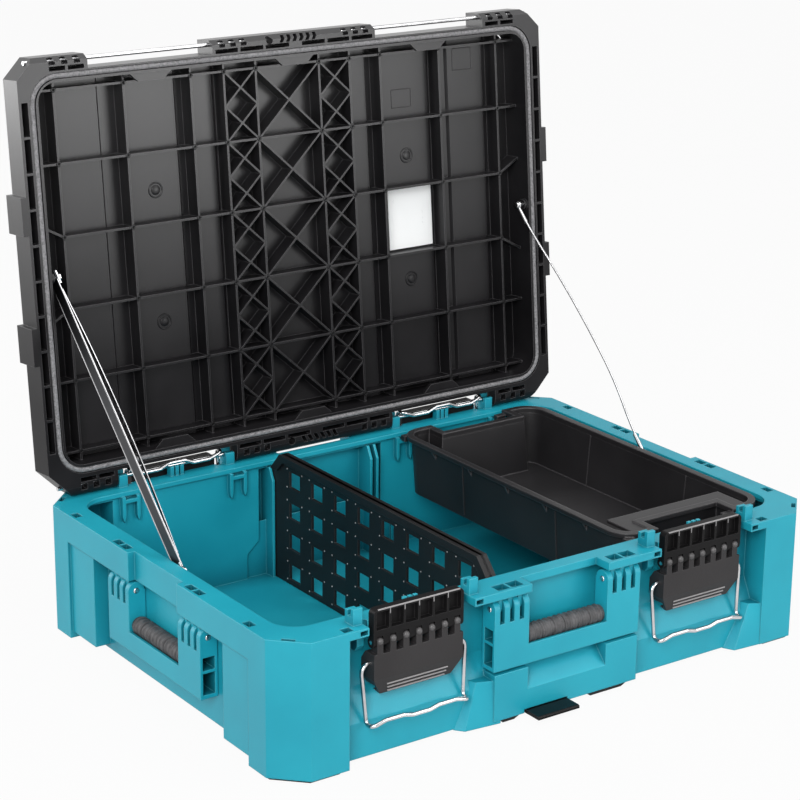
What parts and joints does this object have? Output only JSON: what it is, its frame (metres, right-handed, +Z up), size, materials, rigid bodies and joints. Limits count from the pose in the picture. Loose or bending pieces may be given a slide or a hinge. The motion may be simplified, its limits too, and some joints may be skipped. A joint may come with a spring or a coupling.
{
  "type": "toolbox",
  "caption": "Wide shallow plastic toolbox with an open ribbed lid, draw latches with wire bails, fold-down carrying handles, a lift-out tray and a perforated divider.",
  "frame": {"origin": "middle of the base on the floor plane under the rubber feet", "axes": "+X to the right seen from the front, +Y to the rear where the lid hinges, +Z up"},
  "size_m": [0.662, 0.5425, 0.5878],
  "materials": {
    "teal_shell": "fine grained teal moulding",
    "black_shell": "satin charcoal moulding",
    "black_fitting": "satin charcoal moulding",
    "foot_rubber": "dull black rubber",
    "grip_rubber": "ringed dark rubber",
    "seal_rubber": "grey foam cord",
    "label_white": "blank white sticker",
    "tab_black": "glossy black",
    "spring_steel": "dark spring steel strip",
    "zinc_steel": "bright zinc plated wire"
  },
  "bodies": {
    "base": {"base_shell": "teal_shell", "rubber_foot_front_left": "foot_rubber", "rubber_foot_front_right": "foot_rubber", "rubber_foot_rear_left": "foot_rubber", "rubber_foot_rear_right": "foot_rubber", "latch_plate_front_left": "black_fitting", "latch_plate_front_right": "black_fitting", "latch_plate_rear_left": "black_fitting", "latch_plate_rear_right": "black_fitting", "latch_pin_front_left": "zinc_steel", "latch_pin_front_right": "zinc_steel", "latch_pin_rear_left": "zinc_steel", "latch_pin_rear_right": "zinc_steel", "handle_pin_front_a": "zinc_steel", "handle_pin_front_b": "zinc_steel", "handle_pin_left_a": "zinc_steel", "handle_pin_left_b": "zinc_steel", "handle_pin_right_a": "zinc_steel", "handle_pin_right_b": "zinc_steel", "stay_base_tongue": "zinc_steel", "stay_base_screw": "zinc_steel", "stay_strip_outer": "spring_steel", "stay_strip_inner": "spring_steel", "cable_base_eyelet": "zinc_steel", "cable_base_screw": "zinc_steel", "lid_cable": "zinc_steel"},
    "lid": {"lid_shell": "black_shell", "lid_gasket": "seal_rubber", "lid_label": "label_white", "lid_rod_front_left": "zinc_steel", "lid_rod_front_right": "zinc_steel", "lid_rod_rear_left": "zinc_steel", "lid_rod_rear_right": "zinc_steel", "stay_lid_tongue": "zinc_steel", "stay_lid_screw": "zinc_steel", "cable_lid_eyelet": "zinc_steel", "cable_lid_screw": "zinc_steel"},
    "tray": {"tray": "black_shell"},
    "divider": {"divider": "black_shell"},
    "release_tab": {"release_tab": "tab_black"},
    "lever_front_left": {"latch_lever_front_left": "black_fitting"},
    "bail_front_left": {"latch_bail_front_left": "zinc_steel"},
    "lever_front_right": {"latch_lever_front_right": "black_fitting"},
    "bail_front_right": {"latch_bail_front_right": "zinc_steel"},
    "lever_rear_left": {"latch_lever_rear_left": "black_fitting"},
    "bail_rear_left": {"latch_bail_rear_left": "zinc_steel"},
    "lever_rear_right": {"latch_lever_rear_right": "black_fitting"},
    "bail_rear_right": {"latch_bail_rear_right": "zinc_steel"},
    "handle_front": {"handle_frame_front": "black_fitting", "handle_grip_front": "grip_rubber"},
    "handle_left": {"handle_frame_left": "black_fitting", "handle_grip_left": "grip_rubber"},
    "handle_right": {"handle_frame_right": "black_fitting", "handle_grip_right": "grip_rubber"}
  },
  "joints": [
    {"name": "lid_hinge", "type": "hinge", "parent": "base", "child": "lid", "pos_m": [0, 0.219, 0.1495], "axis": [1, 0, 0], "range_deg": [0, 95.3], "deforming": ["stay_strip_outer", "stay_strip_inner", "lid_cable"]},
    {"name": "lever_front_left", "type": "hinge", "parent": "base", "child": "lever_front_left", "pos_m": [-0.1735, -0.223, 0.118], "axis": [-1, 0, 0], "range_deg": [0, 100]},
    {"name": "bail_front_left", "type": "hinge", "parent": "lever_front_left", "child": "bail_front_left", "pos_m": [-0.1735, -0.2195, 0.0965], "axis": [1, 0, 0], "range_deg": [-150, 0]},
    {"name": "lever_front_right", "type": "hinge", "parent": "base", "child": "lever_front_right", "pos_m": [0.1735, -0.223, 0.118], "axis": [-1, 0, 0], "range_deg": [0, 100]},
    {"name": "bail_front_right", "type": "hinge", "parent": "lever_front_right", "child": "bail_front_right", "pos_m": [0.1735, -0.2195, 0.0965], "axis": [1, 0, 0], "range_deg": [-150, 0]},
    {"name": "lever_rear_left", "type": "hinge", "parent": "base", "child": "lever_rear_left", "pos_m": [-0.1735, 0.2255, 0.118], "axis": [1, 0, 0], "range_deg": [0, 50]},
    {"name": "bail_rear_left", "type": "hinge", "parent": "lever_rear_left", "child": "bail_rear_left", "pos_m": [-0.1735, 0.222, 0.0965], "axis": [1, 0, 0], "range_deg": [-31, 0]},
    {"name": "lever_rear_right", "type": "hinge", "parent": "base", "child": "lever_rear_right", "pos_m": [0.1735, 0.2255, 0.118], "axis": [1, 0, 0], "range_deg": [0, 50]},
    {"name": "bail_rear_right", "type": "hinge", "parent": "lever_rear_right", "child": "bail_rear_right", "pos_m": [0.1735, 0.222, 0.0965], "axis": [1, 0, 0], "range_deg": [-31, 0]},
    {"name": "handle_front", "type": "hinge", "parent": "base", "child": "handle_front", "pos_m": [0, -0.223, 0.119], "axis": [-1, 0, 0], "range_deg": [0, 90]},
    {"name": "handle_left", "type": "hinge", "parent": "base", "child": "handle_left", "pos_m": [-0.316, 0, 0.097], "axis": [0, 1, 0], "range_deg": [0, 90]},
    {"name": "handle_right", "type": "hinge", "parent": "base", "child": "handle_right", "pos_m": [0.316, 0, 0.097], "axis": [0, -1, 0], "range_deg": [0, 90]},
    {"name": "tray_lift", "type": "slide", "parent": "base", "child": "tray", "axis": [0, 0, -1], "range_m": [-0.2, 0]},
    {"name": "divider_lift", "type": "slide", "parent": "base", "child": "divider", "axis": [0, 0, -1], "range_m": [-0.2, 0]},
    {"name": "release_tab_press", "type": "slide", "parent": "base", "child": "release_tab", "axis": [0, 1, 0], "range_m": [0, 0.008], "stiffness_N_per_m": 600, "springref_m": -0.004}
  ],
  "couplings": [
    {"joint": "bail_rear_left", "follows": "lever_rear_left", "ratio": -0.598},
    {"joint": "bail_rear_right", "follows": "lever_rear_right", "ratio": -0.598}
  ]
}
